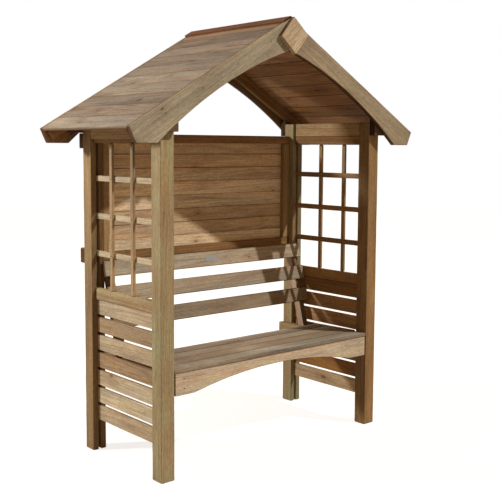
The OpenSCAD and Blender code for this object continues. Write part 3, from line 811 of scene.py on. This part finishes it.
roofKit = {"pitch": 30.0, "deck": 0.016, "rafter": 0.054, "rafterShort": 0.012, "joint": 0.0003,
    "cap": 0.051, "capThick": 0.009, "endCut": 0.078, "cutAngle": 25.0, "barge": 0.134, "hollow": 0.046,
    "plate": 0.128, "turn": 4.4, "arcSteps": 41, "levelSteps": 7, "blockSteps": 6, "plateStation": 0.03,
    "seeds": {"deck": 120, "cap": 127, "barge": 140, "rafter": 160, "block": 180, "plate": 190},
    "deckLook": {"ease": 0.0022, "lightness": 0.0},
    # lightness and redness per board from the ridge down, outside and inside; the darker, redder inside is
    # painted shade
    "tones": (
        ((-0.2, 0.5), (-0.2, 1.25)), ((-0.4, 0.3), (-0.1, 0.95)), ((-0.25, -0.1), (0.1, 0.85)),
        ((-0.25, 0.05), (-0.2, 1.1)), ((-0.25, -0.1), (0.0, 1.0)), ((-0.1, -0.1), (-0.05, 1.0)),
        ((-0.15, -0.15), (-0.15, 0.85)), ((-0.35, 0.1), (-0.2, 1.2)), ((-0.2, 0.15), (0.0, 1.1)),
        ((-0.05, -0.2), (0.05, 1.1))),
    "capTone": {"redness": (0.45, 0.55)},
    # painted shade on the bargeboards' inner face and on their lower edge
    "bargeLook": {"lightness": 0.0, "farFaceShade": (-0.35, 1.0), "under": (-0.3, 0.9)},
    "bargeTones": {
        "left": {"brighter": 0.1, "redness": (-0.1, 0.0)},
        "right": {"brighter": -0.1, "redness": (0.05, 0.15)}},
    # the rafters and eaves blocks are darkened and reddened as painted shade under the roof
    "rafterTone": {"brighter": -0.3, "redness": (0.8, 0.95)},
    "blockTone": {"brighter": -0.65, "redness": (0.3, 0.5)},
    "plateTone": {"brighter": 0.35, "lightness": 0.0, "redness": (0.1, 0.1), "greenness": (0.0, 0.0)}}
pitch = math.radians(roofKit["pitch"])
cosP, sinP, tanP = math.cos(pitch), math.sin(pitch), math.tan(pitch)
deckHigh = boxOf("roof_right_deck")[1]
halfSpan, ridgeZ = deckHigh[0], deckHigh[2]
deckLong = halfSpan / cosP
deckBoard = deckLong / len(roofKit["tones"])


def roofRandom(part, more=0):
    # Random numbers for one kind of roof piece.
    return np.random.default_rng(roofKit["seeds"][part] + more)


def onSlope(s, n, y):
    # A point s down the slope from the ridge and n above it, on the right-hand side.
    return np.array([s * cosP + n * sinP, y, ridgeZ - s * sinP + n * cosP])


def slopeBoard(side, s0, s1, lead, rise, low, high, rng, **changes):
    # A board between s0 and s1 down the slope, its first face leaning by lead over its thickness rise.
    edges = [mirrored(straightLine(onSlope(s, 0, low[1]), onSlope(s, 0, high[1])), side) for s in (s0, s1)]
    through = [mirrored(onSlope(s, rise, 0) - onSlope(0, 0, 0), side) for s in (lead, 0)]
    return plank(*edges, tuple(through), rng, **changes)


for name, side in sides:
    rng = roofRandom("deck", side)
    low, high = boxOf("roof_%s_deck" % name)
    boards = []
    for i, tones in enumerate(roofKit["tones"]):
        start, lead = (i * deckBoard, 0.0) if i else (roofKit["joint"], roofKit["deck"] * tanP)
        boards.append(slopeBoard(side, start, (i + 1) * deckBoard, lead, -roofKit["deck"], low, high, rng,
            **roofKit["deckLook"], **toned(*tones)))
    timber("roof_%s_boards" % name, ["roof_%s_deck" % name], "roofTimber", boards)

rng = roofRandom("cap")
low, high = boxOf("ridge_caps")
lead, rise = -roofKit["capThick"] * tanP, roofKit["capThick"]
boards = [slopeBoard(side, roofKit["joint"], roofKit["cap"], lead, rise, low, high, rng, **roofKit["capTone"])
    for _, side in sides]
timber("ridge_cap_boards", ["ridge_caps"], "ridgeTimber", boards)

# Bargeboard: straight upper edge, lower edge an arc and then a level cut to the sloping tip
cut = math.radians(roofKit["cutAngle"])
tip = np.array([halfSpan, ridgeZ - halfSpan * tanP])
footPoint = tip - roofKit["endCut"] * np.array([math.sin(cut), math.cos(cut)])
head = np.array([roofKit["joint"], ridgeZ - roofKit["barge"] / cosP])
knee = np.array([(head[1] - footPoint[1]) / tanP, footPoint[1]])
halfChord = np.linalg.norm(knee - head) / 2
arcRadius = (halfChord ** 2 + roofKit["hollow"] ** 2) / (2 * roofKit["hollow"])
centre = (knee + head) / 2 - (arcRadius - roofKit["hollow"]) * np.array([sinP, cosP])
fromTo = [math.atan2(p[1] - centre[1], p[0] - centre[0]) for p in (head, knee)]
angles = np.linspace(*fromTo, roofKit["arcSteps"])
arc = centre + arcRadius * np.stack([np.cos(angles), np.sin(angles)], 1)
level = knee + (footPoint - knee) * np.linspace(0, 1, roofKit["levelSteps"])[1:, None]
lowEdge = np.concatenate([arc, level])
slopeAt = lowEdge @ np.array([cosP, -sinP])
share = (slopeAt - slopeAt[0]) / (slopeAt[-1] - slopeAt[0])
start = np.array([roofKit["joint"], ridgeZ - roofKit["joint"] * tanP])
topEdge = start + (tip - start) * share[:, None]
for where in ("front", "rear"):
    for name, side in sides:
        node = "%s_%s_bargeboard" % (where, name)
        low, high = boxOf(node)
        rng = roofRandom("barge", len(node))
        outer, deep = (low[1], high[1] - low[1]) if where == "front" else (high[1], low[1] - high[1])
        edges = [mirrored(np.insert(line, 1, outer, axis=1), side) for line in (lowEdge, topEdge)]
        timber(node + "_timber", [node], "bargeTimber",
            [plank(*edges, (0, deep, 0), rng, axis=(side * cosP, 0, -sinP),
                **roofKit["bargeLook"], **roofKit["bargeTones"][name])])

rafterFoot = roofKit["deck"] + roofKit["rafter"]
for where in ("front", "rear"):
    low, high = boxOf(where + "_rafters")
    rng = roofRandom("rafter", len(where))
    boards = []
    for _, side in sides:
        rows = []
        for n in (roofKit["deck"], rafterFoot):
            start = onSlope(roofKit["joint"] / cosP + n * tanP, -n, low[1])
            end = onSlope(deckLong - roofKit["rafterShort"], -n, low[1])
            rows.append(mirrored(straightLine(start, end), side))
        boards.append(plank(*rows, (0, high[1] - low[1], 0), rng, **roofKit["rafterTone"]))
    timber(where + "_rafter_pair", [where + "_rafters"], "frameTimber", boards)

# Block: level foot, its top edge along the rafter's lower edge
low, high = boxOf("eaves_blocks")
rng = roofRandom("block")
x = np.linspace(boxOf("front_right_post")[0][0], high[0], roofKit["blockSteps"])
heights = np.full_like(x, low[2]), ridgeZ - rafterFoot / cosP - x * tanP
boards = []
for near, away in (boxOf("front_rafters"), boxOf("rear_rafters")):
    for _, side in sides:
        edges = [mirrored(np.stack([x, np.full_like(x, near[1]), z], 1), side) for z in heights]
        boards.append(plank(*edges, (0, away[1] - near[1], 0), rng, **roofKit["blockTone"]))
timber("eaves_block_timber", ["eaves_blocks"], "frameTimber", boards)

for where in ("front", "rear"):
    low, high = boxOf(where + "_apex_plate")
    rng = roofRandom("plate", len(where))
    lean = math.radians(roofKit["turn"] if where == "front" else 0.0)
    out = np.array([math.cos(lean), 0, math.sin(lean)])
    upward = np.array([-math.sin(lean), 0, math.cos(lean)])
    middle = np.array([(low[0] + high[0]) / 2, low[1], (low[2] + high[2]) / 2])
    reach = roofKit["plate"] / math.sqrt(2)
    corners = [middle + reach * (dx * out + dz * upward) for dx, dz in ((-1, 0), (0, -1), (0, 1), (1, 0))]
    edges = [straightLine(*corners[k:k + 2], roofKit["plateStation"]) for k in (0, 2)]
    timber(where + "_apex_board", [where + "_apex_plate"], "bargeTimber",
        [plank(*edges, (0, high[1] - low[1], 0), rng, axis=(1, 0, 1), **roofKit["plateTone"])])
print("roof done")


metalLooks = {
    "nailMetal": {
        "base": (96, 82, 64), "dark": (58, 46, 34), "metallic": 0.35, "rough": 0.55, "size": 260.0},
    "plateMetal": {
        "base": (150, 146, 142), "dark": (128, 124, 122), "metallic": 0.2, "rough": 0.5, "size": 90.0},
}


def metalFinish(name, look):
    # Two tones mixed by a fine noise over the object's own coordinates.
    material, tree = emptyMaterial(name)
    place = addNode(tree, "ShaderNodeTexCoord").outputs["Object"]
    grains = addNode(tree, "ShaderNodeTexNoise", {"Scale": look["size"], "Vector": place})
    mix = addNode(tree, "ShaderNodeMix",
        {0: grains.outputs[0], 6: colour(*look["dark"]), 7: colour(*look["base"])}, data_type="RGBA")
    surface = addNode(tree, "ShaderNodeBsdfPrincipled", {
        "Base Color": mix.outputs[2], "Metallic": look["metallic"], "Roughness": look["rough"]})
    addNode(tree, "ShaderNodeOutputMaterial", {"Surface": surface.outputs[0]})
    return material


finishes.update({name: metalFinish(name, look) for name, look in metalLooks.items()})

nailKit = {"radius": 0.0036, "height": 0.0007, "sides": 10,
    "profile": ((0.6, 0.85), (1.0, 0.3), (1.0, -0.6)),  # radius and height of each ring, as shares
    "acrossBoard": (0.22, 0.78),  # shares of a board's width
    "alongBarge": (0.16, 0.38, 0.6, 0.82), "bargeDrop": 0.043,
    "slatNails": (0.018, -0.018), "apronEnd": 0.05, "apronNails": (0.028, 0.075),
    "battenEnd": 0.035, "battenEdge": 0.018}


def nailHeads(name, spots):
    # Low domes: P = c + r(k) (cos a u + sin a v) + h(k) n, for a spot c with outward direction n.
    at, n = (np.array(v, float) for v in zip(*spots))
    n /= np.linalg.norm(n, axis=1, keepdims=True)
    u = np.cross(n, np.where(np.abs(n[:, :1]) > 0.8, [[0.0, 1.0, 0.0]], [[1.0, 0.0, 0.0]]))
    u /= np.linalg.norm(u, axis=1, keepdims=True)
    v = np.cross(n, u)
    around = nailKit["sides"]
    a = np.arange(around) * 2 * np.pi / around
    ring = np.cos(a)[None, :, None] * u[:, None] + np.sin(a)[None, :, None] * v[:, None]
    layers = [at[:, None] + nailKit["height"] * n[:, None]]
    for r, h in nailKit["profile"]:
        layers.append(at[:, None] + (r * nailKit["radius"]) * ring + (h * nailKit["height"]) * n[:, None])
    points = np.concatenate(layers, axis=1)
    k = np.arange(around)
    nextK = (k + 1) % around
    fans = np.stack([np.zeros_like(k), 1 + k, 1 + nextK], 1)
    band = 1 + np.stack([k, around + k, around + nextK, nextK], 1)
    base = (1 + 2 * around + k[::-1])[None]
    starts = (np.arange(len(at)) * points.shape[1])[:, None, None]
    faces = []
    for part in (fans, np.concatenate([band, band + around]), base):
        faces += (part[None] + starts).reshape(-1, part.shape[1]).tolist()
    onBody(newMesh(name, points.reshape(-1, 3), faces, "nailMetal"))


spots = []
# roof boards over each pair of rafters
for where in ("front", "rear"):
    low, high = boxOf(where + "_rafters")
    for _, side in sides:
        for i in range(1, len(roofKit["tones"])):
            spots += [(mirrored(onSlope((i + f) * deckBoard, 0, (low[1] + high[1]) / 2), side),
                (side * sinP, 0, cosP)) for f in nailKit["acrossBoard"]]
# bargeboards into the rafters
for where, facing in (("front", -1), ("rear", 1)):
    low, high = boxOf(where + "_left_bargeboard")
    y = low[1] if facing < 0 else high[1]
    for _, side in sides:
        spots += [(mirrored(onSlope(deckLong * f, -nailKit["bargeDrop"], y), side), (0, facing, 0))
            for f in nailKit["alongBarge"]]
# seat boards over the bearers
for node in ("left_seat_bearer", "seat_middle_bearer", "right_seat_bearer"):
    low, high = boxOf(node)
    for i in range(len(seatKit["tones"])):
        start = i * (boardWide + seatKit["gap"])
        spots += [(onSeat((low[0] + high[0]) / 2, start + f * boardWide), (0, math.sin(tilt), math.cos(tilt)))
            for f in nailKit["acrossBoard"]]
# back slats on the brackets
for name, _ in sides:
    low, high = boxOf(name + "_back_bracket")
    for i in range(len(backKit["slatTones"])):
        spots += [(raked((low[0] + high[0]) / 2, 0, f - i * slatStep), raked(0, -1, 0) - raked(0, 0, 0))
            for f in nailKit["slatNails"]]
# apron ends, and the crossings of the trellis bars
low, high = boxOf("seat_apron")
spots += [((side * (high[0] - nailKit["apronEnd"]), low[1], high[2] - d), (0, -1, 0))
    for _, side in sides for d in nailKit["apronNails"]]
for name, side in sides:
    x = boxOf(name + "_trellis")[1 if side > 0 else 0][0]
    spots += [((x, y, z), (side, 0, 0)) for y, z in crossings[name]]
# battens at the back into the uprights
for node in ("back_top_batten", "back_low_batten"):
    low, high = boxOf(node)
    spots += [((side * (high[0] - nailKit["battenEnd"]), high[1], z), (0, 1, 0))
        for _, side in sides for z in (low[2] + nailKit["battenEdge"], high[2] - nailKit["battenEdge"])]
nailHeads("nail_heads", spots)

# A plain blank plate on the top slat: a rounded rectangle with a worn edge
plateKit = {"x": 0.0, "wide": 0.085, "tall": 0.032, "thick": 0.0012, "corner": 0.004, "steps": 5,
    "sunk": 0.0002, "edgeDrop": 0.0003, "edgeIn": 0.0004}
turn = np.linspace(0, np.pi / 2, plateKit["steps"])
corner = np.concatenate([turn + q * np.pi / 2 for q in range(4)])
sx, sy = np.repeat([1, -1, -1, 1], plateKit["steps"]), np.repeat([1, 1, -1, -1], plateKit["steps"])
up = raked(0, 0, 1) - raked(0, 0, 0)
face = -plateKit["thick"]
levels = ((0.0, plateKit["sunk"]), (0.0, face + plateKit["edgeDrop"]), (plateKit["edgeIn"], face))
rings = []
for inset, depth in levels:
    r = plateKit["corner"] - inset
    across = sx * (plateKit["wide"] / 2 - plateKit["corner"]) + r * np.cos(corner)
    rise = sy * (plateKit["tall"] / 2 - plateKit["corner"]) + r * np.sin(corner)
    rings.append(raked(0, depth, 0) + np.outer(across + plateKit["x"], (1.0, 0.0, 0.0)) + rise[:, None] * up)
around = len(corner)
k = np.arange(around)
band = np.stack([k, np.roll(k, -1), around + np.roll(k, -1), around + k], 1)
faces = [k[::-1].tolist(), (k + 2 * around).tolist()] + np.concatenate([band, band + around]).tolist()
onBody(newMesh("blank_plate", np.concatenate(rings), faces, "plateMetal", smooth=False))
print("nails and plate done", len(spots))
